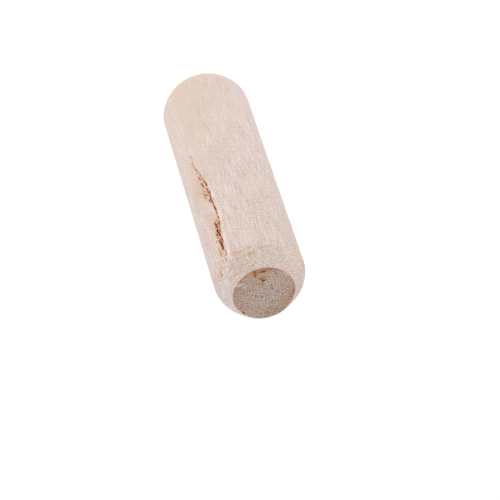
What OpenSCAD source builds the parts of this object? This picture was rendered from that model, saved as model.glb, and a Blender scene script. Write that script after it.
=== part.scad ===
// Fluted wooden dowel pin, standing on one end face.
// Origin: centre of the lower end face. +Z runs up the pin's axis. Millimetres.

/* [Pin] */
// Length over both end faces
pin_length = 30; // [20:1:40]
// Diameter over the lands between the flutes
pin_d = 8; // [7:0.5:12]

/* [Tapered ends] */
// Diameter of the end face at the foot of its taper, before the rim is bevelled
end_face_d = 5.4; // [4:0.1:6.2]
// Length of each tapered end along the axis, before its shoulder is rounded
end_length = 1.85; // [1.2:0.05:3]
// Radius of the soft shoulder between the shank and the taper
shoulder_radius = 2.3; // [0.5:0.1:3]
// How far the small bevel on the end face's rim reaches along the face and up the taper
rim_bevel = 0.12; // [0.05:0.01:0.3]

/* [Flutes] */
// Number of shallow flutes around the shank
flute_count = 15; // [8:1:20]
// Depth of each flute below the lands
flute_depth = 0.07; // [0.03:0.01:0.15]
// Width of each flute at the surface
flute_width = 0.5; // [0.3:0.05:0.7]
// Left-handed turn of each flute around the pin, in degrees per millimetre of height
flute_turn = 1.2; // [0.8:0.1:1.8]
// Bearing of the first flute at half height, from +X towards +Y
flute_bearing = 4.5; // [0:0.5:45]

/* [Split in the grain] */
// Distance from the upper end face down to the split's upper tip
split_from_end = 3; // [2.5:0.1:6]
// Bearing of the split's upper tip around the pin, from +X towards +Y
split_bearing = -57; // [-75:1:-40]
// Depth of the split below the surface
split_depth = 0.25; // [0.15:0.01:0.4]
// Length of the upper pit
upper_pit_length = 4; // [2:0.1:5]
// Greatest width of the upper pit
upper_pit_width = 0.5; // [0.3:0.05:0.8]
// Length of the narrow crack between the pits
crack_length = 3.6; // [1:0.1:4]
// Greatest width of the crack
crack_width = 0.2; // [0.15:0.01:0.3]
// Length of the lower pit
lower_pit_length = 5; // [2:0.1:6]
// Greatest width of the lower pit
lower_pit_width = 0.42; // [0.3:0.02:0.8]
// Width of the necks where the crack meets the pits
neck_width = 0.12; // [0.06:0.01:0.14]
// Sideways step from the upper tip to the upper neck, positive towards a greater bearing
upper_pit_step = -0.35; // [-0.6:0.05:0.6]
// Sideways step from the upper neck to the lower neck
crack_step = 0.1; // [-0.4:0.05:0.4]
// Sideways step from the lower neck to the lower tip
lower_pit_step = 0.6; // [-0.8:0.05:0.8]

/* [Hidden] */
pin_r = pin_d / 2;
end_face_r = end_face_d / 2;
overlap = 1;
fineness = 96;

// Slope of the tapered end, and how far the shoulder's round reaches from its corner
taper_angle = atan2(end_length, pin_r - end_face_r);
shoulder_reach = shoulder_radius * tan((90 - taper_angle) / 2);
shoulder_z = end_length + shoulder_reach;

// The cutter of a flute is a very large, thin ring that leans with the flute.
// Its tube gives the flute's width and depth, and its curve keeps the depth even.
flute_half_angle = flute_width / pin_d * 180 / PI;
flute_chord_depth = flute_depth - pin_r * (1 - cos(flute_half_angle));
flute_half_chord = pin_r * sin(flute_half_angle);
flute_tool_r = (flute_chord_depth ^ 2 + flute_half_chord ^ 2) / (2 * flute_chord_depth);
flute_centre_r = pin_r - flute_depth + flute_tool_r;
flute_lean = atan(flute_centre_r * flute_turn * PI / 180);
flute_ring_r = flute_centre_r / sin(flute_lean) ^ 2;
flute_ring_angle = 2 * asin((pin_length / 2 + overlap) / flute_ring_r);
flute_ring_fineness = ceil(360 / flute_ring_angle) * 16;

// The split's centre line and width, from its upper tip down: a pit, a crack and a second pit,
// each widest halfway along
upper_neck = [upper_pit_step, -upper_pit_length];
lower_neck = upper_neck + [crack_step, -crack_length];
lower_tip = lower_neck + [lower_pit_step, -lower_pit_length];
split_line = [
    upper_neck / 2,
    upper_neck,
    (upper_neck + lower_neck) / 2,
    lower_neck,
    (lower_neck + lower_tip) / 2
];
split_widths = [upper_pit_width, neck_width, crack_width, neck_width, lower_pit_width];

// Half of the lower half of the pin's outline, to the right of its axis
module half_outline() {
    polygon([
        [0, 0],
        [end_face_r - rim_bevel, 0],
        [end_face_r + rim_bevel * cos(taper_angle), rim_bevel * sin(taper_angle)],
        [pin_r - shoulder_reach * cos(taper_angle), end_length - shoulder_reach * sin(taper_angle)],
        [pin_r, shoulder_z],
        [pin_r, pin_length / 2],
        [0, pin_length / 2]
    ]);
    intersection() {
        translate([pin_r - shoulder_radius, shoulder_z])
            circle(shoulder_radius, $fn = fineness);
        square([pin_r, shoulder_z]);
    }
}

// The turned blank: a round shank with a blunt taper at each end
module blank() {
    rotate_extrude($fn = fineness) {
        half_outline();
        translate([0, pin_length])
            mirror([0, 1])
                half_outline();
    }
}

// The cutter of one flute, for the side that faces +X
module flute_cutter() {
    translate([flute_centre_r - flute_ring_r, 0, pin_length / 2])
        rotate([90 + flute_lean, 0, 0])
            rotate_extrude(angle = flute_ring_angle, start = -flute_ring_angle / 2, $fn = flute_ring_fineness)
                translate([flute_ring_r, 0])
                    circle(flute_tool_r, $fn = fineness);
}

// Outline of the split, as seen from straight in front of it, with its upper tip at the origin
module split_outline() {
    right_side = [for (i = [0 : len(split_line) - 1]) split_line[i] + [split_widths[i] / 2, 0]];
    left_side = [for (i = [len(split_line) - 1 : -1 : 0]) split_line[i] - [split_widths[i] / 2, 0]];
    polygon(concat([[0, 0]], right_side, [lower_tip], left_side));
}

// The split in the grain: its outline cut straight in towards the axis
module split_in_grain() {
    rotate([0, 0, split_bearing])
        translate([pin_r - split_depth, 0, pin_length - split_from_end])
            rotate([90, 0, 90])
                linear_extrude(height = split_depth + overlap)
                    split_outline();
}

module dowel_pin() {
    color("burlywood")
        difference() {
            blank();
            for (i = [0 : flute_count - 1])
                rotate([0, 0, flute_bearing + i * 360 / flute_count])
                    flute_cutter();
            split_in_grain();
        }
}

dowel_pin();
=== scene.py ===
import math

import bpy
from mathutils import Matrix, Vector


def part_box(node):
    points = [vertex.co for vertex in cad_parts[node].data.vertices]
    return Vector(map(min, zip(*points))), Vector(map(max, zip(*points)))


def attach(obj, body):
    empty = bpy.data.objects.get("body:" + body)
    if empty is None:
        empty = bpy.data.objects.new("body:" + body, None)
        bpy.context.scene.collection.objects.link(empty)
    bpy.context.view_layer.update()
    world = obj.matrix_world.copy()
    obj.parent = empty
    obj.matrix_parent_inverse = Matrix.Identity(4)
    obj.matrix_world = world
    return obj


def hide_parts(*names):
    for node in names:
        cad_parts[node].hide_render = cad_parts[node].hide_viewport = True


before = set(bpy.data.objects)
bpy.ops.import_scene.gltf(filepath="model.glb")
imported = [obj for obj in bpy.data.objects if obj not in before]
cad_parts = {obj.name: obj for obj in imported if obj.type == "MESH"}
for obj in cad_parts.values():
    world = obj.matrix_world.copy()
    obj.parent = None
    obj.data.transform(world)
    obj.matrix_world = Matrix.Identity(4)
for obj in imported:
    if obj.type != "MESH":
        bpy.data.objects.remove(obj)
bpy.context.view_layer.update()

millimetre = 0.001
scene = bpy.context.scene
scene.view_settings.view_transform = "Standard"


# Node trees are written as sums: a wire is one output of a node, and arithmetic on it adds math nodes

class Wire:
    def __init__(self, socket):
        self.socket = socket
        self.tree = socket.id_data

    def __add__(self, other):
        return combine("ADD", self, other)

    def __sub__(self, other):
        return combine("SUBTRACT", self, other)

    def __rsub__(self, other):
        return combine("SUBTRACT", other, self)

    def __mul__(self, other):
        return combine("MULTIPLY", self, other)

    def __truediv__(self, other):
        return combine("DIVIDE", self, other)

    def __rtruediv__(self, other):
        return combine("DIVIDE", other, self)


def isVector(value):
    return isinstance(value, tuple) or isinstance(value, Wire) and value.socket.type in ("VECTOR", "RGBA")


def combine(operation, *values):  # colours and places take the vector node
    return vectorCalc(operation, *values) if any(map(isVector, values)) else calc(operation, *values)


def treeOf(*values):
    return next(value.tree for value in values if isinstance(value, Wire))


def addNode(tree, kind, inputs=None, **settings):  # inputs go by their name or number
    made = tree.nodes.new(kind)
    for name, value in settings.items():
        setattr(made, name, value)
    for label, value in (inputs or {}).items():
        feed(made.inputs[label], value)
    return made


def feed(socket, value):  # a wire is linked, anything else becomes the socket's own value
    if isinstance(value, Wire):
        value.tree.links.new(value.socket, socket)
    else:
        socket.default_value = value


def output(node, label=0):
    return Wire(node.outputs[label])


def outputs(node):
    return {socket.name: Wire(socket) for socket in node.outputs}


def calc(operation, *values):
    return output(addNode(treeOf(*values), "ShaderNodeMath", dict(enumerate(values)), operation=operation))


def vectorCalc(operation, *values):
    made = addNode(treeOf(*values), "ShaderNodeVectorMath", dict(enumerate(values)), operation=operation)
    return output(made, "Value" if operation in ("LENGTH", "DISTANCE", "DOT_PRODUCT") else "Vector")


def joinThree(*values):
    return output(addNode(treeOf(*values), "ShaderNodeCombineXYZ", dict(enumerate(values))))


def splitThree(vector):
    return [Wire(socket) for socket in addNode(vector.tree, "ShaderNodeSeparateXYZ", {0: vector}).outputs]


def ease(value, low, high, start=0.0, end=1.0):  # a smooth step from start to end
    steps = dict(enumerate((value, low, high, start, end)))
    return output(addNode(value.tree, "ShaderNodeMapRange", steps, interpolation_type="SMOOTHSTEP"), "Result")


def bell(value, width):  # one at nought, and almost nothing at twice the width
    share = value / width
    return calc("EXPONENT", share * share * -1.0)


def noise(place, scale, detail=2.0, rough=0.5):
    values = {"Vector": place, "Scale": scale, "Detail": detail, "Roughness": rough}
    return output(addNode(place.tree, "ShaderNodeTexNoise", values, noise_dimensions="3D"), "Fac")


def drawnLine(value, points, handle="AUTO_CLAMPED"):  # points are (value, result) pairs
    start, span = points[0][0], points[-1][0] - points[0][0]
    results = [result for _, result in points]
    low, rise = min(results), max(results) - min(results)
    made = addNode(value.tree, "ShaderNodeFloatCurve", {"Value": (value - start) / span})
    curve = made.mapping.curves[0]
    while len(curve.points) < len(points):
        curve.points.new(0.5, 0.5)
    for knot, (at, result) in zip(curve.points, points):
        knot.location = ((at - start) / span, (result - low) / rise)
        knot.handle_type = handle
    made.mapping.update()
    return output(made) * rise + low


def newGroup(name, kind, inputs, results):  # an input is its number, or the kind of its socket
    tree = bpy.data.node_groups.new(name, kind)
    for label, given in inputs.items():
        socketKind = given if isinstance(given, str) else "Float"
        made = tree.interface.new_socket(label, in_out="INPUT", socket_type="NodeSocket" + socketKind)
        if given is not socketKind:
            made.default_value = given
    for label, socketKind in results.items():
        tree.interface.new_socket(label, in_out="OUTPUT", socket_type="NodeSocket" + socketKind)
    return tree, outputs(addNode(tree, "NodeGroupInput")), addNode(tree, "NodeGroupOutput").inputs


def tone(colour):  # a screen colour of 0 to 255 as the colour a node takes
    levels = [part / 255 for part in colour]
    return [part / 12.92 if part <= 0.04045 else ((part + 0.055) / 1.055) ** 2.4 for part in levels] + [1.0]


def tonesOf(colours):
    return {name: tone(colour) for name, colour in colours.items()}


def blend(share, under, over):
    inputs = {"Factor": share, 6: under, 7: over}  # the numbers are the node's two colours
    return output(addNode(treeOf(share, under), "ShaderNodeMix", inputs, data_type="RGBA"), 2)


# The camera stands above the upper end and looks down along the shank, turned over

view = {"place": (0.0, -0.16112, 0.22684), "target": (0.0000892, 0.006953, 0.015),
        "roll": 161.99, "lens": 216.0, "sensor": 36.0, "nearest": 0.01, "farthest": 20.0}


def facing(place, target):  # stands at a place and looks at the target
    turned = (Vector(target) - Vector(place)).to_track_quat("-Z", "Y").to_matrix().to_4x4()
    return Matrix.Translation(Vector(place)) @ turned


def makeCamera():
    lens = bpy.data.cameras.new("viewCamera")
    lens.lens = view["lens"]
    lens.sensor_width = view["sensor"]
    lens.clip_start = view["nearest"]
    lens.clip_end = view["farthest"]
    camera = bpy.data.objects.new("viewCamera", lens)
    scene.collection.objects.link(camera)
    roll = Matrix.Rotation(math.radians(view["roll"]), 4, "Z")
    camera.matrix_world = facing(view["place"], view["target"]) @ roll
    scene.camera = camera


# A wide pale floor, an even sky and four big soft lamps

studio = {"floorSize": 3.0, "floorTones": ((246, 245, 244), (249, 248, 247)), "floorGlow": 0.38,
          "floorRoughness": 0.9, "floorGloss": 0.1, "skyLow": 0.55, "skyHigh": 0.45,
          "lampTarget": (0.0, 0.0, 0.015), "lampSize": 0.5,
          "lamps": [  # name, place, watts, colour
              ("frontLamp", (-0.1, -0.78, 0.42), 1.47, (1.0, 0.985, 0.97)),
              ("leftLamp", (0.78, -0.25, 0.42), 1.7, (1.0, 0.985, 0.975)),
              ("rightLamp", (-0.8, -0.15, 0.45), 1.1, (1.0, 0.985, 0.97)),
              ("backLamp", (0.15, 0.75, 0.4), 1.0, (1.0, 0.99, 0.98)),
          ]}


def makeFloor():
    half = studio["floorSize"] / 2
    sheet = bpy.data.meshes.new("floor")
    corners = [(-half, -half, 0), (half, -half, 0), (half, half, 0), (-half, half, 0)]
    sheet.from_pydata(corners, [], [(0, 1, 2, 3)])
    floor = bpy.data.objects.new("floor", sheet)
    scene.collection.objects.link(floor)
    paper = bpy.data.materials.new("floorPaper")
    paper.use_nodes = True
    tree = paper.node_tree
    mottle = noise(output(addNode(tree, "ShaderNodeTexCoord"), "Object"), 14.0, 3.0)
    settings = {"Base Color": blend(mottle, *(tone(colour) for colour in studio["floorTones"])),
                "Roughness": studio["floorRoughness"], "Specular IOR Level": studio["floorGloss"],
                "Emission Color": (1.0, 1.0, 1.0, 1.0), "Emission Strength": studio["floorGlow"]}
    for label, value in settings.items():
        feed(tree.nodes["Principled BSDF"].inputs[label], value)
    sheet.materials.append(paper)


def makeSky():
    sky = bpy.data.worlds.new("studioSky")
    scene.world = sky
    sky.use_nodes = True
    tree = sky.node_tree
    height = splitThree(output(addNode(tree, "ShaderNodeTexCoord"), "Generated"))[2]
    level = ease(height, 0.0, 1.0, studio["skyLow"], studio["skyHigh"])
    feed(tree.nodes["Background"].inputs["Color"], joinThree(level, level, level))


def makeLamps():
    for name, place, watts, colour in studio["lamps"]:
        lamp = bpy.data.lights.new(name, "AREA")
        lamp.shape = "DISK"
        lamp.size = studio["lampSize"]
        lamp.energy = watts
        lamp.color = colour
        holder = bpy.data.objects.new(name, lamp)
        scene.collection.objects.link(holder)
        holder.matrix_world = facing(place, studio["lampTarget"])


# Shared effects: each reads a place in millimetres and gives masks and heights

def makeFibreGrain():  # fine streaks along the pin, which are dots where it is cut across
    inputs = {"Place": "Vector", "Width": 0.12, "Length": 0.9, "Wander": 0.25}
    results = {"Streak": "Float", "Fine": "Float", "Relief": "Float"}
    tree, given, out = newGroup("fibreGrain", "ShaderNodeTree", inputs, results)
    x, y, z = splitThree(given["Place"])
    lean = (noise(given["Place"] * (0.4, 0.4, 0.12), 1.0) - 0.5) * given["Wander"]
    across, along = 1.0 / given["Width"], 1.0 / given["Length"]
    grainPlace = joinThree((x + lean) * across, y * across, z * along)
    streak = noise(grainPlace, 1.0, 2.0, 0.55)
    fine = noise(grainPlace * (2.3, 2.3, 1.6), 1.0, 1.0)
    feed(out["Streak"], ease(streak, 0.28, 0.72))
    feed(out["Fine"], ease(fine, 0.25, 0.75))
    feed(out["Relief"], fine * 0.4 + streak)
    return tree


def makeBroadTint():  # large soft patches drawn out along the pin
    inputs = {"Place": "Vector", "Width": 1.4, "Length": 7.0, "Shift": 0.0}
    tree, given, out = newGroup("broadTint", "ShaderNodeTree", inputs, {"Patch": "Float", "Band": "Float"})
    x, y, z = splitThree(given["Place"])
    patchPlace = joinThree(x / given["Width"], y / given["Width"] + given["Shift"], z / given["Length"])
    feed(out["Patch"], ease(noise(patchPlace, 1.0, 3.0, 0.55), 0.32, 0.68))
    feed(out["Band"], ease(noise(patchPlace * (2.6, 2.6, 1.2), 1.0), 0.34, 0.66))
    return tree


def makeDarkPores():  # scattered small holes, round across the grain and drawn out along it
    inputs = {"Place": "Vector", "Spacing": 0.22, "Stretch": 5.0, "Size": 0.3, "Share": 0.5}
    tree, given, out = newGroup("darkPores", "ShaderNodeTree", inputs, {"Pore": "Float"})
    x, y, z = splitThree(given["Place"])
    across = 1.0 / given["Spacing"]
    cellPlace = joinThree(x * across, y * across, z * across / given["Stretch"])
    cells = outputs(addNode(tree, "ShaderNodeTexVoronoi", {"Vector": cellPlace, "Scale": 1.0},
                            voronoi_dimensions="3D", feature="F1"))
    chance = splitThree(cells["Color"])[0]
    size = given["Size"] * (chance * 0.8 + 0.6)
    hole = 1.0 - ease(cells["Distance"] / size, 0.45, 1.0)
    feed(out["Pore"], hole * calc("LESS_THAN", chance, given["Share"]))
    return tree


def makeStainSpot():  # one ragged mark round a point
    inputs = {"Place": "Vector", "Centre": "Vector", "Reach": "Vector", "Ragged": 0.5}
    tree, given, out = newGroup("stainSpot", "ShaderNodeTree", inputs, {"Mark": "Float"})
    off = vectorCalc("LENGTH", (given["Place"] - given["Centre"]) / given["Reach"])
    frayed = (noise(given["Place"], 5.5, 3.0, 0.6) - 0.5) * given["Ragged"]
    feed(out["Mark"], 1.0 - ease(frayed * 2.0 + off, 0.45, 1.0))
    return tree


effects = {"fibreGrain": makeFibreGrain(), "broadTint": makeBroadTint(),
           "darkPores": makeDarkPores(), "stainSpot": makeStainSpot()}
print("shared effects ready:", ", ".join(effects))


def placeEffect(name, place, **values):
    return outputs(addNode(place.tree, "ShaderNodeGroup", dict(values, Place=place), node_tree=effects[name]))


def layGrains(grains, places):  # one fibre grain for each row of a table
    return {name: placeEffect("fibreGrain", places[laid] + shift, Width=width, Length=length, Wander=wander)
            for name, (laid, shift, width, length, wander) in grains.items()}


def shade(colour, gain, warmth=0.0, turn=0.4):  # the dimmer a place, the browner it turns
    redGain = calc("POWER", gain, 1.0 - turn)
    blueGain = calc("POWER", gain, 1.0 + turn * 1.2) * (1.0 - warmth)
    return colour * joinThree(redGain, gain, blueGain)


def redden(colour, gain):
    return colour * joinThree(gain, 1.0, 1.0)


def sway(base, *swings):  # adds each mask's swing about its middle to the base: (mask, size) pairs
    for mask, size in swings:
        base = (mask - 0.5) * size + base
    return base


def addMarks(colour, place, marks, tones, ragged, thin=1.0):
    for where, reach, share, name in marks:
        mark = placeEffect("stainSpot", place, Centre=where, Reach=reach, Ragged=ragged)["Mark"]
        colour = blend(mark * (thin * share), colour, tones[name])
    return colour


def startWood(name):  # a new material with its place in millimetres
    made = bpy.data.materials.new(name)
    made.use_nodes = True
    tree = made.node_tree
    place = output(addNode(tree, "ShaderNodeTexCoord"), "Object")
    place = output(addNode(tree, "ShaderNodeMapping", {"Vector": place, "Scale": [1 / millimetre] * 3}))
    return made, tree, tree.nodes["Principled BSDF"].inputs, place


def addBump(shader, height, depth, strength):
    values = {"Height": height, "Distance": depth * millimetre, "Strength": strength}
    feed(shader["Normal"], output(addNode(height.tree, "ShaderNodeBump", values)))


# The pin's sizes in millimetres, the first two from the frame; the finishes use them too

lowest, highest = (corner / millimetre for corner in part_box("dowel_pin"))
pin = {"Length": round(highest.z - lowest.z, 3), "Radius": round((highest.x - lowest.x) / 2, 3),
       "End Radius": 2.7, "End Length": 1.85, "Shoulder Radius": 2.3, "Rim Radius": 0.22,
       "Flute Count": 15.0, "Flute Radius": 0.533, "Flute Centre": 4.463, "Flute Turn": 1.2,
       "Flute Bearing": 4.5, "Flute Sway": 0.07, "Flute Wear": 0.03,
       "Split Depth": 0.22, "Lip Height": 0.01, "Fibre Relief": 0.014, "End Relief": 0.03, "Rim Wobble": 0.05,
       "End Spread": 0.015, "End Aside": 0.08, "End Behind": 0.032}


# The wood along the pin. Places are in millimetres: x across it, z its height.
# A step is where it starts and ends, and may go on with the value before it and the value after it.
# A noise is its scale, detail and roughness. A share of two numbers is the least and what is added.

side = {
    "tones": {"cream": (225, 210, 200), "pink": (224, 207, 203), "honey": (218, 196, 178),
              "dark": (202, 181, 168), "noseGrey": (216, 200, 194), "nosePale": (230, 217, 213),
              "noseWarm": (226, 204, 191), "speck": (150, 122, 96), "olive": (194, 168, 130),
              # the split's darkest tone is painted shade deep in the tears
              "apricot": (246, 218, 190), "brokenLine": (196, 152, 128), "splitBlack": (112, 26, 4),
              "splitBrown": (164, 90, 48), "splitOrange": (204, 150, 106), "haze": (212, 180, 156),
              # the near-white lip tone is partly pale torn fibre, partly painted highlight
              "lip": (250, 242, 234)},
    "broad": {"Width": 1.3, "Length": 6.0, "Shift": 0.0}, "warm": {"Width": 2.4, "Length": 4.5, "Shift": 5.2},
    "pores": {"Spacing": 0.5, "Stretch": 5.0, "Size": 0.2, "Share": 0.22}, "poreShare": 0.35,
    "grains": {  # what it is laid on, its shift there, width and length of a fibre, how far it wanders
        "hair": ("shortRows", (47.3, 0.0, 4.4), 0.06, 0.2, 0.1),
        "grain": ("longRows", (0.0, 0.0, 0.0), 0.07, 2.4, 0.3),
        "strand": ("solid", (2.9, 6.6, 1.4), 0.34, 2.6, 0.5),
        "tint": ("shortRows", (91.3, 0.0, 9.5), 0.1, 0.45, 0.2),
        "fleck": ("solid", (8.3, 3.4, 12.7), 0.2, 0.8, 0.3),
        "mottle": ("solid", (1.7, 9.2, 3.1), 0.09, 0.11, 0.1),
        "blotch": ("solid", (5.7, 1.2, 6.1), 0.24, 0.32, 0.2),
        "turned": ("solid", (4.2, 8.8, 5.3), 1.0, 0.1, 0.4),
        "splinter": ("slanted", (23.7, 0.0, 2.2), 0.05, 0.3, 0.2),
    },
    "stagger": {"shortRows": 0.9, "longRows": 7.0}, "slant": 0.2,
    "honeyShare": 0.3, "level": (10.0, 27.0, 1.0, 0.94), "strandSwing": 0.03,
    "grainSwing": (4.0, 18.0, 0.17, 0.42), "fleckSwing": (8.0, 22.0, 0.08, 0.02), "fleckBlue": -0.4,
    "tintWarmth": 0.16, "tintRed": 0.05,
    "hairSwing": (4.0, 18.0, 0.26, 0.56), "hairLeft": (1.8, 3.2, 0.0, 0.16),
    "taperGrey": 0.25, "taperPale": (1.8, 3.2, 0.0, 0.4), "taperWarm": (-3.0, -1.6, 0.5, 0.0),
    "taperWarmth": 0.26, "blotchSwing": 0.08, "turnedSwing": (-0.5, 2.2, 0.05, 0.24), "mottleSwing": 0.62,
    "waveNoise": (2.4, 3.0, 0.6), "edgeWave": 0.22, "upperFade": (-0.06, 0.14), "lowerFade": (-0.15, 0.15),
    "edgeWidth": 0.07, "gapNoise": (1.6, 3.0, 0.6), "edgeGaps": (0.38, 0.56),
    "edgeLeft": (2.0, 2.6, 0.56, 0.1), "edgeRight": (-2.2, -1.2, 0.2, 1.0),
    # where the upper rim is painted near-white: partly a worn edge, partly painted highlight
    "burnishHighlightBack": (0.4, 1.8), "burnishHighlightLeft": (0.6, 1.6, 0.0, 0.4), "burnishHighlightShare": 0.8,
    "splitHair": 0.22, "splitRim": (0.0, 0.12), "hazeShare": (0.15, 0.5), "lipHighlightShare": 0.8,
    "splinterDark": (0.52, 0.8, 0.0, 0.66),
    "splinterPale": (0.5, 0.2, 0.0, 0.9), "splitTones": [  # from how deep, to how deep; the deeper, darker tones are partly painted shade in the tears
        ("splitOrange", 0.02, 0.3), ("splitBrown", 0.28, 0.68), ("splitBlack", 0.7, 1.05),
    ],
    "roughness": 0.62, "fineRough": 0.1, "taperRough": 0.12, "splitRough": 0.3, "gloss": 0.3,
    "bump": 0.5, "bumpDepth": 0.02, "hairBump": 0.5, "mottleBump": 1.2,
    "markRagged": 0.7,
    "marks": [  # place on the pin, half-sizes, share, tone
        ((1.35, -3.76, 5.0), (2.2, 1.5, 11.0), 0.45, "honey"),
        ((3.02, -2.62, 17.0), (0.8, 0.8, 2.6), 0.4, "haze"),
        ((0.69, -3.94, 15.0), (2.2, 1.4, 3.4), 0.2, "dark"),
        ((3.2, -2.4, 22.0), (1.2, 1.2, 6.5), 0.22, "dark"),
        ((-3.4, -2.0, 26.0), (1.0, 1.0, 2.6), 0.25, "dark"),
        ((3.41, -2.09, 7.51), (0.12, 0.12, 0.2), 0.6, "speck"),
        ((1.5, -3.7, 8.45), (0.12, 0.2, 0.3), 0.35, "splitOrange"),
        ((-2.46, -3.15, 10.51), (0.13, 0.13, 0.2), 0.9, "splitOrange"),
        ((-0.81, -3.92, 22.2), (0.1, 0.1, 0.18), 0.7, "speck"),
        ((-1.03, -3.86, 21.99), (0.1, 0.1, 0.16), 0.45, "speck"),
        ((0.22, -3.99, 22.69), (0.1, 0.1, 0.17), 0.5, "speck"),
        ((-2.68, -2.97, 21.23), (0.1, 0.1, 0.18), 0.7, "speck"),
        ((-2.68, -2.97, 16.81), (0.1, 0.1, 0.18), 0.6, "speck"),
        ((-2.02, -3.45, 25.25), (0.1, 0.1, 0.16), 0.6, "speck"),
        ((0.15, -3.6, 28.71), (0.42, 0.3, 0.2), 0.75, "olive"),
        ((-0.18, -3.58, 28.75), (0.2, 0.3, 0.16), 0.5, "olive"),
        ((-0.02, -3.1, 29.44), (0.14, 0.2, 0.24), 0.8, "olive"),
        ((0.25, -2.97, 29.58), (0.3, 0.2, 0.12), 0.7, "olive"),
        ((0.6, -2.88, 29.72), (0.24, 0.2, 0.12), 0.5, "olive"),
        ((1.38, -2.83, 29.38), (0.14, 0.2, 0.26), 0.4, "olive"),
        ((0.09, -3.85, 28.2), (0.11, 0.2, 0.22), 0.8, "brokenLine"),
        ((-1.57, -3.48, 28.31), (0.3, 0.3, 0.14), 0.4, "brokenLine"),
        ((-0.4, -3.85, 28.4), (0.45, 0.2, 0.09), 0.7, "brokenLine"),
        ((-3.28, -1.85, 28.44), (0.2, 0.2, 0.16), 0.7, "olive"),
        ((2.5, -3.12, 22.3), (0.7, 0.6, 1.4), 0.5, "haze"),
        ((0.1, -3.98, 26.9), (1.3, 1.0, 1.4), 0.35, "nosePale"),
        ((-2.83, -2.83, 27.2), (0.8, 0.8, 0.9), 0.3, "honey"),
        ((-3.4, -1.6, 28.6), (1.2, 1.6, 1.1), 0.28, "apricot"),
        ((0.6, -2.8, 29.85), (1.0, 0.5, 0.25), 0.3, "dark"),
        ((2.6, -1.2, 29.85), (0.5, 0.9, 0.25), 0.3, "dark"),
        ((2.5, -3.1, 15.5), (1.5, 1.5, 4.6), 0.3, "honey"),
        ((-3.6, -1.8, 3.5), (1.0, 1.2, 2.2), 0.3, "nosePale"),
        ((3.15, -1.1, 29.1), (0.7, 0.9, 0.8), 0.18, "dark"),
        ((-1.45, -3.6, 28.15), (0.5, 0.4, 0.3), 0.4, "nosePale"),
        ((-2.3, -3.1, 28.2), (0.4, 0.4, 0.3), 0.45, "nosePale"),
    ],
    "taperEdge": [  # across the pin, height of the upper taper's edge
        (-4.2, 28.3), (-3.4, 28.4), (-2.75, 28.47), (-2.2, 28.49), (-1.95, 28.37), (-1.67, 28.31),
        (-1.0, 28.47), (-0.56, 28.48), (0.0, 28.23), (0.23, 28.26), (0.9, 28.15), (1.34, 28.02),
        (1.71, 27.95), (1.96, 28.06), (2.6, 28.2), (4.2, 28.15),
    ],
    "taperLevel": [  # across the pin, how light the upper taper is
        (-4.2, 1.1), (-3.2, 1.08), (-2.5, 1.035), (-1.8, 0.98), (-0.8, 0.96), (0.3, 0.94), (1.2, 0.885),
        (2.0, 0.93), (2.6, 0.99), (3.2, 0.99), (3.7, 0.94), (4.2, 0.94),
    ],
}


def layUnrolled(x, y, z):  # the way round and the height, so fibres stay fine all round the pin
    around = calc("ARCTAN2", x, y * -1.0) * pin["Radius"]
    uneven = noise(joinThree(around, 5.5, 0.5), 2.3, 1.0) - 0.5  # so neighbours don't end in step
    laid = {name: joinThree(around, 0.0, uneven * reach + z) for name, reach in side["stagger"].items()}
    return dict(laid, slanted=joinThree(z * side["slant"] + around, 0.0, z))


def shankColour(x, z, grains, hue):  # light and dark fibres over the broad hue
    tint, fleckSwing = grains["tint"], ease(z, *side["fleckSwing"])
    gain = sway(1.0, (grains["grain"]["Streak"], ease(z, *side["grainSwing"])),
                (grains["strand"]["Streak"], side["strandSwing"]), (grains["fleck"]["Streak"], fleckSwing))
    warmth = sway(0.0, (tint["Fine"], side["tintWarmth"]),
                  (grains["fleck"]["Streak"], fleckSwing * side["fleckBlue"]))
    colour = redden(shade(hue, gain, warmth), sway(1.0, (tint["Streak"], side["tintRed"])))
    hairSwing = ease(z, *side["hairSwing"]) + ease(x, *side["hairLeft"])
    return shade(colour, sway(ease(z, *side["level"]), (grains["hair"]["Streak"], hairSwing)), turn=0.2)


def taperColour(x, grains, hue, tones):  # greyer and mottled, with the fine rings of the turning
    hue = blend(side["taperGrey"], hue, tones["noseGrey"])
    hue = blend(ease(x, *side["taperPale"]), hue, tones["nosePale"])
    hue = blend(ease(x, *side["taperWarm"]), hue, tones["noseWarm"])
    gain = sway(drawnLine(x, side["taperLevel"]), (grains["blotch"]["Streak"], side["blotchSwing"]),
                (grains["turned"]["Streak"], ease(x, *side["turnedSwing"])))
    colour = shade(hue, gain, sway(0.0, (grains["tint"]["Fine"], side["taperWarmth"])))
    return shade(colour, sway(1.0, (grains["mottle"]["Streak"], side["mottleSwing"])), turn=0.2)


def addSplit(colour, tree, grains, tones):  # warm haze, a pale lifted edge that is partly painted highlight, then orange to black strokes that are partly stain and partly painted shade
    haze, depth, lip, fray = (output(addNode(tree, "ShaderNodeAttribute", attribute_name=name), "Fac")
                              for name in ("splitStain", "splitDepth", "splitLipAndHighlight", "splitFray"))
    splinter, streak = grains["splinter"]["Streak"], grains["grain"]["Streak"]
    torn = sway(depth, (grains["hair"]["Streak"], side["splitHair"])) * ease(depth, *side["splitRim"])
    torn = calc("MAXIMUM", torn, fray * ease(splinter, *side["splinterDark"]))
    least, swing = side["hazeShare"]
    colour = blend(haze * (streak * swing + least), colour, tones["haze"])
    # the lifted edge and the loose fibres are painted near-white: partly pale torn wood, partly painted
    # highlight
    colour = blend(lip * (streak * side["lipHighlightShare"]), colour, tones["lip"])
    colour = blend(fray * ease(splinter, *side["splinterPale"]), colour, tones["lip"])
    # the tears go from orange to black as they deepen: partly stain of the torn wood, partly painted shade
    # inside them
    for name, shallow, deep in side["splitTones"]:
        colour = blend(ease(torn, shallow, deep), colour, tones[name])
    return colour, torn


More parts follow.
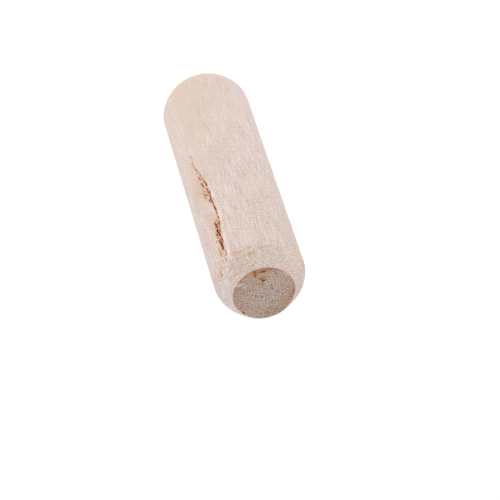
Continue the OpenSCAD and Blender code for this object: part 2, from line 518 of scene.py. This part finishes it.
def makeSideWood():
    made, tree, shader, place = startWood("sideWood")
    tones = tonesOf(side["tones"])
    x, y, z = splitThree(place)
    grains = layGrains(side["grains"], dict(layUnrolled(x, y, z), solid=place))
    broad, warm = (placeEffect("broadTint", place, **side[name])["Patch"] for name in ("broad", "warm"))
    pores = placeEffect("darkPores", place, **side["pores"])["Pore"]
    hue = blend(warm * side["honeyShare"], blend(broad, tones["pink"], tones["cream"]), tones["honey"])
    colour = blend(pores * side["poreShare"], shankColour(x, z, grains, hue), tones["dark"])

    # the cut tapers; the upper one's edge is a line of broken fibres
    waved = z + (noise(place, *side["waveNoise"]) - 0.5) * side["edgeWave"]
    aboveEdge = waved - drawnLine(x, side["taperEdge"])
    lower = 1.0 - ease(waved - pin["End Length"], *side["lowerFade"])
    tapered = calc("MAXIMUM", ease(aboveEdge, *side["upperFade"]), lower)
    colour = blend(tapered, colour, taperColour(x, grains, hue, tones))
    edge = bell(aboveEdge, side["edgeWidth"]) * ease(noise(place, *side["gapNoise"]), *side["edgeGaps"])
    edge = edge * ease(x, *side["edgeLeft"]) * ease(x, *side["edgeRight"])
    colour = blend(edge, colour, tones["brokenLine"])
    # a near-white band along the upper rim on the back and left: partly a worn edge, partly painted highlight
    burnishedAndHighlit = calc("MAXIMUM", ease(y, *side["burnishHighlightBack"]), ease(x, *side["burnishHighlightLeft"]))
    burnishedAndHighlit = ease(z - pin["Length"], -pin["Rim Radius"], -0.1) * burnishedAndHighlit * side["burnishHighlightShare"]
    colour = blend(burnishedAndHighlit, colour, tones["lip"])
    colour = addMarks(colour, place, side["marks"], tones, side["markRagged"])
    colour, torn = addSplit(colour, tree, grains, tones)
    feed(shader["Base Color"], colour)

    rough = grains["grain"]["Fine"] * side["fineRough"] + side["roughness"]
    rough = tapered * side["taperRough"] + rough
    feed(shader["Roughness"], ease(torn, 0.1, 0.5) * side["splitRough"] + rough)
    feed(shader["Specular IOR Level"], side["gloss"])
    height = grains["hair"]["Relief"] * side["hairBump"] + grains["grain"]["Relief"]
    height = grains["mottle"]["Relief"] * tapered * side["mottleBump"] + height - pores
    addBump(shader, height, side["bumpDepth"], side["bump"])
    return made


# The wood cut across, on the two ends

cut = {
    # the end tones are darker than the side's: partly the end grain's own tone, partly painted shade of the
    # end face
    "tones": {"heart": (199, 178, 169), "heartWarm": (201, 177, 159), "outer": (199, 170, 153),
              "outerWarm": (196, 162, 142), "pore": (94, 64, 58), "rim": (178, 128, 96),
              "russet": (176, 104, 70), "stain": (160, 96, 36), "deep": (116, 56, 16),
              "gold": (196, 152, 92), "veil": (204, 164, 124), "olive": (168, 144, 92),
              # the near-white edge tone is partly a worn rim, partly painted highlight
              "pale": (225, 208, 193), "edge": (252, 246, 240)},
    "broad": {"Width": 0.9, "Length": 9.0, "Shift": 2.0},
    "sector": {"Width": 2.2, "Length": 9.0, "Shift": 8.0},
    "pores": {"Spacing": 0.27, "Stretch": 9.0, "Size": 0.34, "Share": 0.42}, "poreShare": 0.6,
    "grains": {  # as on the side
        "dots": ("solid", (0.0, 0.0, 0.0), 0.09, 1.0, 0.1),
        "clumps": ("solid", (3.1, 8.4, 2.2), 0.2, 2.0, 0.2),
        "tint": ("solid", (9.4, 5.1, 7.7), 0.13, 2.0, 0.2),
    },
    "heartEdge": (0.9, 2.3), "heartWave": 0.5, "clumpSwing": 0.1, "bandSwing": 0.02, "dotSwing": 1.7,
    "clumpRed": 0.1, "streakWarmth": 0.12, "fineWarmth": 0.24,
    "ringEdge": (-0.4, -0.08), "burnishHighlightEdge": (-0.14, -0.04),  # from the rim, inwards is less
    "ringShare": (0.05, 0.3), "ringBack": (0.0, 1.5, 1.0, 0.2), "burnishHighlightBack": (0.4, 1.8),
    "roughness": 0.8, "fineRough": 0.12, "gloss": 0.2, "bump": 0.7, "bumpDepth": 0.03, "poreBump": 1.6,
    "markMottle": (0.25, 0.75, 1.3, 0.8), "markRagged": 1.0,
    "marks": [  # as on the side, but all on the upper end
        ((0.1, -2.35), (1.3, 0.6), 0.45, "veil"), ((-0.2, -1.7), (0.8, 0.55), 0.4, "veil"),
        ((-0.65, -2.47), (1.2, 0.34), 0.5, "rim"), ((-1.1, -2.22), (0.5, 0.3), 0.35, "russet"),
        ((0.52, -2.55), (0.32, 0.2), 0.7, "gold"), ((0.44, -2.3), (0.2, 0.34), 0.6, "gold"),
        ((0.29, -2.42), (0.19, 0.34), 0.95, "stain"), ((0.34, -2.08), (0.12, 0.36), 0.9, "stain"),
        ((-0.03, -2.2), (0.2, 0.24), 0.5, "gold"), ((-0.31, -2.26), (0.42, 0.14), 0.9, "stain"),
        ((-0.46, -2.22), (0.13, 0.15), 0.6, "deep"), ((-0.23, -1.52), (0.3, 0.22), 0.55, "gold"),
        ((-0.02, -1.62), (0.18, 0.17), 0.8, "stain"), ((-0.11, -1.45), (0.17, 0.17), 0.9, "stain"),
        ((-0.2, -1.29), (0.2, 0.16), 1.0, "deep"), ((-0.34, -1.62), (0.17, 0.17), 0.65, "stain"),
        ((-0.46, -1.38), (0.15, 0.15), 0.6, "russet"), ((-0.05, -0.92), (0.17, 0.17), 0.6, "stain"),
        ((-0.37, 1.2), (0.32, 0.26), 0.45, "olive"), ((0.0, 1.72), (0.38, 0.3), 0.4, "olive"),
        ((-0.3, 2.2), (1.0, 0.5), 0.3, "olive"), ((0.38, 2.14), (0.28, 0.28), 0.7, "olive"),
        ((-0.92, 2.42), (0.3, 0.2), 0.55, "olive"), ((2.26, 1.38), (0.16, 0.13), 1, "pore"),
        ((2.2, 0.62), (0.111, 0.111), 0.54, "pore"), ((-2.38, 0.8), (0.17, 0.36), 0.75, "russet"),
        ((-2.2, 1.15), (0.36, 0.6), 0.35, "rim"), ((2.3, -0.9), (0.14, 0.5), 0.15, "rim"),
        ((1.77, -1.62), (0.5, 0.2), 0.9, "pale"), ((-2.2, -1.35), (0.3, 0.5), 0.55, "pale"),
        ((-2.15, -0.25), (0.5, 0.6), 0.16, "pale"), ((0.5, -1.0), (1.0, 0.6), 0.12, "gold"),
        ((1.2, 1.3), (1.1, 1.0), 0.3, "heart"), ((1.37, -1.28), (0.36, 0.18), 0.5, "pale"),
        ((-1.3, -1.2), (1.1, 0.9), 0.2, "pale"), ((-1.5, 1.5), (0.8, 0.6), 0.2, "rim"),
        ((-1.37, -1.71), (0.111, 0.133), 0.68, "pore"), ((-0.73, -0.6), (0.122, 0.122), 0.42, "pore"),
        ((-0.68, -0.13), (0.111, 0.111), 0.48, "pore"), ((-1.06, 0.25), (0.111, 0.111), 0.61, "pore"),
        ((0.84, 0.07), (0.111, 0.111), 0.68, "pore"), ((0.32, 0.29), (0.111, 0.099), 0.68, "pore"),
        ((0, 0.36), (0.099, 0.099), 0.68, "pore"), ((1.2, -0.7), (0.099, 0.099), 0.61, "pore"),
    ],
}


def makeEndWood():
    made, _, shader, place = startWood("endWood")
    tones = tonesOf(cut["tones"])
    dots, clumps, tint = layGrains(cut["grains"], {"solid": place}).values()
    broad, sector = (placeEffect("broadTint", place, **cut[name]) for name in ("broad", "sector"))
    pores = placeEffect("darkPores", place, **cut["pores"])["Pore"]
    x, y, _ = splitThree(place)
    fromMiddle = joinThree(x - pin["End Aside"], y - pin["End Behind"], 0.0)
    out = vectorCalc("LENGTH", fromMiddle) / (1.0 + pin["End Spread"])
    fromRim = out - pin["End Radius"]

    # a greyer heart, a browner outer part
    heart = blend(broad["Patch"], tones["heart"], tones["heartWarm"])
    outer = blend(sector["Patch"], tones["outer"], tones["outerWarm"])
    hue = blend(ease(sway(out, (broad["Band"], cut["heartWave"])), *cut["heartEdge"]), heart, outer)
    gain = sway(1.0, (clumps["Streak"], cut["clumpSwing"]), (broad["Band"], cut["bandSwing"]))
    warmth = sway(0.0, (tint["Streak"], cut["streakWarmth"]), (tint["Fine"], cut["fineWarmth"]))
    colour = shade(shade(hue, gain, warmth), sway(1.0, (dots["Streak"], cut["dotSwing"])), turn=0.3)
    colour = redden(colour, sway(1.0, (clumps["Fine"], cut["clumpRed"])))
    least, swing = cut["ringShare"]
    ring = ease(fromRim, *cut["ringEdge"]) * (broad["Band"] * swing + least) * ease(y, *cut["ringBack"])
    colour = blend(ring, colour, tones["rim"])
    colour = blend(pores * cut["poreShare"], colour, tones["pore"])
    marks = [((*where, pin["Length"]), (*reach, 1.0), share, name)
             for where, reach, share, name in cut["marks"]]
    colour = addMarks(colour, place, marks, tones, cut["markRagged"], ease(dots["Fine"], *cut["markMottle"]))
    # a near-white line round the rim on the back: partly a worn edge, partly painted highlight
    burnishedAndHighlit = ease(fromRim, *cut["burnishHighlightEdge"]) * ease(y, *cut["burnishHighlightBack"])
    feed(shader["Base Color"], blend(burnishedAndHighlit, colour, tones["edge"]))

    feed(shader["Roughness"], dots["Fine"] * cut["fineRough"] + cut["roughness"])
    feed(shader["Specular IOR Level"], cut["gloss"])
    addBump(shader, dots["Relief"] - pores * cut["poreBump"], cut["bumpDepth"], cut["bump"])
    return made


sideWood = makeSideWood()
endWood = makeEndWood()
print("wood finishes ready")


# The pin is turned from one outline in Geometry Nodes, then grooved, split and roughened.
# Everything in the tree is in millimetres until the last scaling.

rings = {"around": 272, "along": 360, "crowding": 0.5, "crowdedAt": 302.0, "atCorners": 24,
         "closing": 0.0002}  # points nearer than this become one, in millimetres
ways = [  # a ring's number and how far along the outline it lies
    (0, 0.0), (12, 2.5), (24, 2.9), (62, 6.4), (104, 14.4), (286, 30.6), (324, 33.19), (336, 33.59),
    (360, 36.09),
]
split = {  # bearings are in degrees, heights in millimetres
    "crispEdge": [  # height and bearing
        (0, -48), (11.8, -48.5), (12.8, -52), (13.3, -51.5), (14.5, -53.5), (15.4, -56.5), (16.2, -57.5),
        (16.7, -59), (17.6, -62), (18.4, -62.6), (19.6, -62.2), (20.6, -63.2), (21.4, -64), (22.1, -64),
        (22.9, -63.6), (23.3, -62.9), (24.4, -60.7), (25.5, -60.2), (26.2, -59.2), (26.6, -57.5),
        (27.55, -59.5), (28, -56.5), (30, -56),
    ],
    "frayedEdge": [  # height and bearing
        (0, -46), (11.8, -46.5), (12.8, -49.5), (13.3, -48.5), (14.5, -50.5), (15.4, -51.5), (16.2, -51),
        (17.4, -51), (18, -51), (19, -52), (19.5, -56), (20.3, -57.5), (21, -61), (22.2, -61.5),
        (22.65, -54.5), (23.5, -53.5), (24.4, -53), (25.3, -54), (26.1, -54), (26.6, -53), (27.15, -50),
        (28, -53.5), (30, -54),
    ],
    "fill": [  # height and how closely it is torn there
        (0, 0), (11.7, 0), (12.2, 0.2), (13.5, 0.3), (15, 0.35), (15.6, 0.42), (17.6, 0.45), (19, 0.35),
        (20.3, 0.15), (21.5, 0.1), (22.5, 0.3), (22.9, 0.7), (24.3, 0.8), (24.7, 0.5), (25.2, 0.5),
        (25.6, 0.7), (26.3, 0.7), (26.7, 0.35), (27.6, 0.3), (28.0, 0), (30, 0),
    ],
    "deep": [  # height and how deeply
        (0, 0.15), (12, 0.15), (15, 0.22), (17.6, 0.3), (19, 0.28), (22, 0.3), (22.9, 0.5), (24.4, 0.55),
        (24.8, 0.4), (25.7, 0.45), (26.4, 0.4), (26.9, 0.2), (30, 0.15),
    ],
    "lipLine": [  # height and bearing of the pale lifted edge, whose paleness is partly painted highlight
        (0, -66), (17.5, -68.5), (19.1, -67.1), (19.5, -66.2), (20.2, -65.5), (21.3, -66.2), (21.9, -66.2),
        (22.5, -65.7), (23.6, -65.5), (24.15, -64.8), (24.8, -63.8), (25.6, -62.8), (26.2, -62.9),
        (27.4, -62.6), (28.25, -61.5), (30, -60),
    ],
    "lipHighlightShare": [  # and how pale it is, partly as painted highlight
        (0, 0), (17.4, 0), (18.6, 0.6), (19.4, 0.9), (22.8, 1.0), (23.6, 0.6), (24.6, 0.6), (25.4, 0.9),
        (27.6, 0.9), (28.4, 0.3), (28.9, 0), (30, 0),
    ],
    "strokes": [  # bearing and height of both ends, half-width, depth
        ((-47.8, 11.79), (-48.6, 12.2), 0.05, 0.16), ((-50.5, 12.25), (-51.6, 12.76), 0.06, 0.26),
        ((-48, 13.15), (-50.8, 14.15), 0.07, 0.22), ((-50.7, 14.17), (-53.1, 14.79), 0.08, 0.42),
        ((-56, 15.4), (-55.8, 15.81), 0.08, 0.45), ((-53, 15.66), (-53.4, 16.01), 0.09, 0.5),
        ((-57.8, 16.07), (-58.9, 16.47), 0.06, 0.35), ((-58.3, 16.57), (-58.3, 16.97), 0.08, 0.6),
        ((-59.2, 17.07), (-61.3, 17.66), 0.08, 0.68), ((-53.4, 16.59), (-54.4, 17.04), 0.08, 0.55),
        ((-54.4, 17.04), (-54.6, 17.42), 0.08, 0.5), ((-58.5, 17.69), (-60, 18.22), 0.07, 0.65),
        ((-61.3, 18.33), (-61.8, 18.67), 0.07, 0.45), ((-54.1, 17.84), (-54, 18.1), 0.07, 0.42),
        ((-58.2, 18.21), (-59.9, 18.58), 0.08, 0.55), ((-51.1, 17.95), (-51.5, 18.25), 0.07, 0.3),
        ((-46.4, 17.5), (-46.7, 17.86), 0.07, 0.28), ((-41.6, 17.06), (-41.9, 17.41), 0.08, 0.2),
        ((-61.9, 18.56), (-61.8, 18.91), 0.104, 0.59), ((-61.8, 18.88), (-60.1, 19.11), 0.117, 0.61),
        ((-60.1, 19.11), (-60.4, 19.53), 0.104, 0.64), ((-60.4, 19.49), (-60.7, 19.79), 0.117, 0.72),
        ((-60.6, 19.81), (-61.1, 20.15), 0.117, 0.72), ((-61.1, 20.15), (-62.1, 20.59), 0.091, 0.51),
        ((-55.2, 18.48), (-55.5, 18.8), 0.07, 0.5), ((-52.2, 18.43), (-53.9, 19.09), 0.07, 0.5),
        ((-57.6, 18.7), (-57.7, 18.95), 0.06, 0.4), ((-57.2, 19.42), (-57.5, 20.03), 0.06, 0.45),
        ((-64.3, 19.85), (-64, 20.1), 0.078, 0.21), ((-61.8, 20.59), (-62.2, 21), 0.091, 0.55),
        ((-62.1, 20.97), (-63, 21.49), 0.104, 0.72), ((-62.6, 21.64), (-62.5, 22.04), 0.078, 0.51),
        ((-62.9, 22.22), (-62.7, 22.68), 0.091, 0.47), ((-61.7, 22.95), (-62.7, 23.46), 0.07, 0.6),
        ((-59.3, 22.57), (-59.3, 22.86), 0.08, 0.25), ((-54.2, 22.69), (-55.4, 23.14), 0.09, 0.85),
        ((-58.9, 23.09), (-60, 23.41), 0.07, 0.6), ((-55.6, 23.13), (-56.7, 23.51), 0.09, 0.85),
        ((-56.6, 23.43), (-56.1, 23.68), 0.09, 0.95), ((-54.6, 23.61), (-54.5, 24.07), 0.1, 1.05),
        ((-58.3, 23.9), (-58.7, 24.28), 0.08, 0.6), ((-55.1, 24.12), (-56.5, 24.62), 0.11, 1.05),
        ((-52.4, 24.15), (-52.4, 24.33), 0.07, 0.8), ((-52.6, 24.32), (-52.2, 24.51), 0.06, 0.3),
        ((-56.9, 24.66), (-57.9, 25.2), 0.08, 0.75), ((-57.7, 25.19), (-58.1, 25.66), 0.08, 0.7),
        ((-52.7, 24.58), (-52.6, 24.84), 0.06, 0.55), ((-54.4, 24.84), (-55.8, 25.33), 0.07, 0.42),
        ((-52.9, 25.14), (-54.5, 25.55), 0.07, 0.9), ((-54.2, 25.52), (-54.9, 26.04), 0.09, 1.05),
        ((-55.1, 25.98), (-54.4, 26.42), 0.085, 0.95), ((-55.1, 26.39), (-54.8, 26.6), 0.07, 0.6),
        ((-50.2, 24.99), (-49.4, 25.27), 0.07, 0.42), ((-57.1, 26.85), (-57.8, 27.36), 0.08, 0.32),
        ((-57.8, 27.36), (-56.1, 27.6), 0.07, 0.3), ((-49.8, 26.05), (-49.8, 26.71), 0.09, 0.26),
        ((-49.8, 26.71), (-50, 27.22), 0.09, 0.34), ((-55.3, 27.83), (-55.3, 28.06), 0.06, 0.4),
        ((-38, 28.15), (-33.5, 28.6), 0.08, 0.55), ((-49.1, 27.69), (-49.1, 27.97), 0.09, 0.26),
    ],
    "fibres": [  # left standing between the tears, pale partly as painted highlight: both ends, half-width, how pale
        ((-51.8, 16.77), (-52.6, 17.37), 0.08, 0.9), ((-58.8, 17.46), (-60.4, 17.9), 0.07, 0.8),
        ((-54.5, 18.84), (-55.4, 19.21), 0.08, 0.9), ((-65.2, 18.9), (-66.3, 19.8), 0.15, 1.0),
        ((-53.8, 26.93), (-52.6, 27.75), 0.08, 0.7), ((-52.5, 24.45), (-51.7, 24.66), 0.07, 0.6),
        ((-36.6, 28.0), (-35.2, 28.4), 0.09, 1.0),
    ],
    "lean": 0.28, "tearWidth": 0.11, "tearLength": 0.5, "crispRagged": 1.5, "frayedRagged": -8.0,
    "crispStep": (-0.4, 0.5), "frayedStep": (-0.8, 1.2), "tearLevel": (0.64, -0.26), "tearStep": (0.0, 0.07),
    "tearFrom": (0.0, 0.2), "tearShare": 0.6, "shakeScale": (5.0, 1.8, 1.0), "shakeReach": (0.16, 0.3, 0.0),
    "strokeShare": 1.25, "strokeGaps": (0.3, 0.5, 0.7, 1.0), "lipWidth": (23.5, 26.0, 1.1, 2.6),
    "openFrom": (0.0, 0.5), "stainAside": 2.5, "stainWidth": 7.0, "tornSink": 0.3, "strokeSink": 0.65,
}
relief = {  # noises, whose scale can differ across and along the pin, and steps
    "fibre": ((2.6, 2.6, 0.45), 3.0, 0.55), "rough": (2.6, 3.0, 0.6), "wobble": (0.7, 1.0),
    "fluteScale": (0.9, 0.9, 0.22), "roughFrom": (-0.55, 0.15), "closeFrom": (0.0, 1.0),
    "asideFrom": (-1.8, -0.1), "cutLevel": 0.8,
}


def makeTornStroke():  # how near a place is to a straight tear, which is widest at its middle
    inputs = {"Place": "Vector", "Start": "Vector", "End": "Vector", "Half Width": 0.1}
    tree, given, out = newGroup("tornStroke", "GeometryNodeTree", inputs, {"Mark": "Float"})
    along, off = given["End"] - given["Start"], given["Place"] - given["Start"]
    share = vectorCalc("DOT_PRODUCT", off, along) / vectorCalc("DOT_PRODUCT", along, along)
    share = calc("MINIMUM", calc("MAXIMUM", share, 0.0), 1.0)
    away = vectorCalc("DISTANCE", off, along * share)
    middle = 1.0 - calc("ABSOLUTE", share * 2.0 - 1.0)
    width = given["Half Width"] * (middle * 0.5 + 0.65)
    feed(out["Mark"], 1.0 - ease(away / width, 0.4, 1.1))
    return tree


def pick(index, choices, kind):  # the choice that has the index as its number
    made = addNode(index.tree, "GeometryNodeIndexSwitch", data_type=kind)
    while len(made.index_switch_items) < len(choices):
        made.index_switch_items.new()
    for number, value in enumerate([index, *choices]):
        feed(made.inputs[number], value)
    return output(made)


def reshape(shape, kind, inputs=None, **settings):  # a node that takes a shape in and gives a shape out
    return output(addNode(shape.tree, "GeometryNode" + kind, {0: shape, **(inputs or {})}, **settings))


def makeOutline(tree, given):  # from the middle of the lower end to the middle of the upper end
    radius, endRadius = given["Radius"], given["End Radius"]
    length, endLength = given["Length"], given["End Length"]
    rim, shoulder = given["Rim Radius"], given["Shoulder Radius"]
    corners = [(0.0, 0.0, 0.0), joinThree(endRadius, 0.0, 0.0), joinThree(radius, 0.0, endLength),
               joinThree(radius, 0.0, length - endLength), joinThree(endRadius, 0.0, length),
               joinThree(0.0, 0.0, length)]
    index = output(addNode(tree, "GeometryNodeInputIndex"))
    count = {"Count": len(corners)}
    line = output(addNode(tree, "GeometryNodeMeshLine", count, mode="OFFSET", count_mode="TOTAL"))
    line = reshape(line, "SetPosition", {"Position": pick(index, corners, "VECTOR")})
    line = reshape(line, "MeshToCurve")
    rounds = pick(index, [0.0, rim, shoulder, shoulder, rim, 0.0], "FLOAT")
    bends = {"Count": rings["atCorners"], "Limit Radius": True, "Radius": rounds}
    return reshape(line, "FilletCurve", bends, mode="POLY")


def cutFlutes(given, base, radius, z, inDegrees):  # round grooves, with their edges a little worn
    step = 360.0 / given["Flute Count"]
    slant = (z - given["Length"] * 0.5) * given["Flute Turn"]
    off = calc("WRAP", inDegrees - given["Flute Bearing"] + slant, step * 0.5, step * -0.5)
    off = calc("RADIANS", off)
    uneven = noise(base * relief["fluteScale"], 1.0) - 0.5
    centre = uneven * given["Flute Sway"] + given["Flute Centre"]
    across = centre * calc("SINE", off)
    inside = given["Flute Radius"] * given["Flute Radius"] - across * across
    groove = centre * calc("COSINE", off) - calc("SQRT", calc("MAXIMUM", inside, 0.0))
    return calc("MINIMUM", calc("SMOOTH_MIN", radius, groove, given["Flute Wear"]), radius)


def tearSplit(tree, z, wrapped):  # drawn on the unrolled side: gives its depth, lip (pale partly as painted highlight), stain and torn area
    around = calc("RADIANS", wrapped) * pin["Radius"]
    lines = (split[name] for name in ("crispEdge", "frayedEdge", "fill", "deep"))
    crisp, frayed, fill, deep = (drawnLine(z, line) for line in lines)

    # random torn strokes between its two edges
    tearPlace = joinThree((z * split["lean"] + around) / split["tearWidth"], z / split["tearLength"], 3.7)
    fray = noise(tearPlace, 1.0)
    ragged = fray - 0.5
    crispSide = ease(ragged * split["crispRagged"] + wrapped - crisp, *split["crispStep"])
    frayedSide = ease(frayed - (ragged * split["frayedRagged"] + wrapped), *split["frayedStep"])
    area = crispSide * frayedSide
    bare, fillGain = split["tearLevel"]
    tears = ease(fray - (fill * fillGain + bare), *split["tearStep"]) * ease(fill, *split["tearFrom"])
    hollow = area * tears * deep * split["tearShare"]

    # then the deep ones and the fibres left between them, each in its own place
    flat = joinThree(around, z, 0.0)
    shaking = {"Vector": flat * split["shakeScale"], "Scale": 1.0}
    shake = output(addNode(tree, "ShaderNodeTexNoise", shaking), "Color")
    shaken = flat + (shake - (0.5, 0.5, 0.5)) * split["shakeReach"]
    tearing = makeTornStroke()

    def strokeMark(start, end, halfWidth):
        ends = [(math.radians(bearing) * pin["Radius"], height, 0.0) for bearing, height in (start, end)]
        values = {"Place": shaken, "Start": ends[0], "End": ends[1], "Half Width": halfWidth}
        return output(addNode(tree, "GeometryNodeGroup", values, node_tree=tearing))

    for *stroke, depth in split["strokes"]:
        hollow = calc("MAXIMUM", hollow, strokeMark(*stroke) * (depth * split["strokeShare"]))
    hollow = hollow * ease(fray, *split["strokeGaps"])
    # the pale lifted edge and standing fibres: lifted a little, and painted pale partly as painted highlight
    lip = bell(wrapped - drawnLine(z, split["lipLine"]), ease(z, *split["lipWidth"]))
    lip = lip * drawnLine(z, split["lipHighlightShare"])
    for *fibre, share in split["fibres"]:
        lip = calc("MAXIMUM", lip, strokeMark(*fibre) * share)
    opened = ease(fill, *split["openFrom"])
    stainMiddle = (crisp + frayed) * 0.5 + split["stainAside"]
    return hollow, lip, bell(wrapped - stainMiddle, split["stainWidth"]) * opened, area * opened


def makeTurnedPin():
    inputs = dict(pin, Side="Material", End="Material")
    tree, given, out = newGroup("turnedPin", "GeometryNodeTree", inputs, {"Geometry": "Geometry"})

    # a sheet of rings, wrapped round the outline; it is closest where the split runs
    counts = {"Vertices X": rings["around"] + 1, "Vertices Y": rings["along"] + 1}
    shape = output(addNode(tree, "GeometryNodeMeshGrid", {"Size X": 1.0, "Size Y": 1.0, **counts}))
    sheetX, sheetY, _ = splitThree(output(addNode(tree, "GeometryNodeInputPosition")))
    turn = (sheetX + 0.5) * math.tau
    bearing = calc("SINE", turn - math.radians(rings["crowdedAt"])) * -rings["crowding"] + turn
    shares = [(ring / rings["along"], at / ways[-1][1]) for ring, at in ways]
    way = drawnLine(sheetY + 0.5, shares, "VECTOR")
    along = {"Curves": makeOutline(tree, given), "Factor": way}
    sample = outputs(addNode(tree, "GeometryNodeSampleCurve", along, mode="FACTOR"))
    radius, _, z = splitThree(sample["Position"])
    tangentOut, _, tangentUp = splitThree(sample["Tangent"])
    cosine, sine, inDegrees = (calc(operation, bearing) for operation in ("COSINE", "SINE", "DEGREES"))
    base = joinThree(cosine * given["Radius"], sine * given["Radius"], z)
    grooved = cutFlutes(given, base, radius, z, inDegrees)
    hollow, lip, stain, torn = tearSplit(tree, z, calc("WRAP", inDegrees, 180.0, -180.0))

    # fibres stand up a little everywhere, more on the tapers and the ends, which the saw left rough
    half = given["Length"] * 0.5
    ends = ease(calc("ABSOLUTE", z - half) - (half - given["End Length"]), *relief["roughFrom"])
    solid = joinThree(cosine * radius, sine * radius, z)
    scale, detail, uneven = relief["fibre"]
    fibre = noise(base * scale, 1.0, detail, uneven) * given["Fibre Relief"]
    fibre = fibre * ease(radius, *relief["closeFrom"])  # nothing at the middle, which closes
    wobble = noise(solid, *relief["wobble"]) * given["Rim Wobble"]
    rough = noise(solid, *relief["rough"]) * given["End Relief"] + wobble
    push = lip * given["Lip Height"] - fibre - rough * ends
    sunk = (torn * split["tornSink"] + hollow * split["strokeSink"]) * given["Split Depth"]
    radial = push * tangentUp + (grooved - sunk)
    height = z - push * tangentOut

    # the saw met the upper end a little off the middle
    upperEnd = ease(z - given["Length"], *relief["asideFrom"])
    radial = radial * (upperEnd * given["End Spread"] + 1.0)
    aside, behind = upperEnd * given["End Aside"], upperEnd * given["End Behind"]
    place = joinThree(cosine * radial + aside, sine * radial + behind, height)

    # the marks are kept for the finish before the sheet is wrapped
    marks = {"splitDepth": hollow, "splitLipAndHighlight": lip, "splitStain": stain, "splitFray": torn,
             "cutEnd": calc("GREATER_THAN", calc("ABSOLUTE", tangentOut), relief["cutLevel"])}
    for label, field in marks.items():
        kept = {"Name": label, "Value": field}
        shape = reshape(shape, "StoreNamedAttribute", kept, data_type="FLOAT", domain="POINT")
    shape = reshape(shape, "SetPosition", {"Position": place})
    shape = reshape(shape, "MergeByDistance", {"Distance": rings["closing"]})
    shape = reshape(shape, "Transform", {"Scale": [millimetre] * 3})
    shape = reshape(reshape(shape, "SetShadeSmooth"), "RealizeInstances")
    shape = reshape(shape, "SetMaterial", {"Material": given["Side"]})
    onEnd = output(addNode(tree, "GeometryNodeInputNamedAttribute", {"Name": "cutEnd"}, data_type="FLOAT"))
    ofEnd = {"Selection": calc("GREATER_THAN", onEnd, 0.5), "Material": given["End"]}
    feed(out["Geometry"], reshape(shape, "SetMaterial", ofEnd))
    return tree


def buildPiece(name, tree, values):
    holder = bpy.data.objects.new(name, bpy.data.meshes.new(name + "Start"))
    scene.collection.objects.link(holder)
    modifier = holder.modifiers.new("shape", "NODES")
    modifier.node_group = tree
    for item in tree.interface.items_tree:
        if item.item_type == "SOCKET" and item.in_out == "INPUT" and item.name in values:
            modifier[item.identifier] = values[item.name]
    evaluated = holder.evaluated_get(bpy.context.evaluated_depsgraph_get())
    finished = bpy.data.meshes.new_from_object(evaluated)
    finished.name = name
    slots = [face.material_index for face in finished.polygons]
    finishes = list(finished.materials)
    finished.materials.clear()  # the sheet's own empty slot goes
    for finish in finishes:
        if finish:
            finished.materials.append(finish)
    empty = finishes.count(None)
    finished.polygons.foreach_set("material_index", [slot - empty for slot in slots])
    holder.modifiers.remove(modifier)
    holder.data = finished
    return holder


dowel = buildPiece("fluted_pin", makeTurnedPin(), dict(pin, Side=sideWood, End=endWood))
print("pin built:", len(dowel.data.vertices), "points,", len(dowel.data.polygons), "faces,",
      [slot.name for slot in dowel.data.materials])
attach(dowel, "root")
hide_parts("dowel_pin")

makeFloor()
makeSky()
makeLamps()
makeCamera()
print("studio and camera ready")
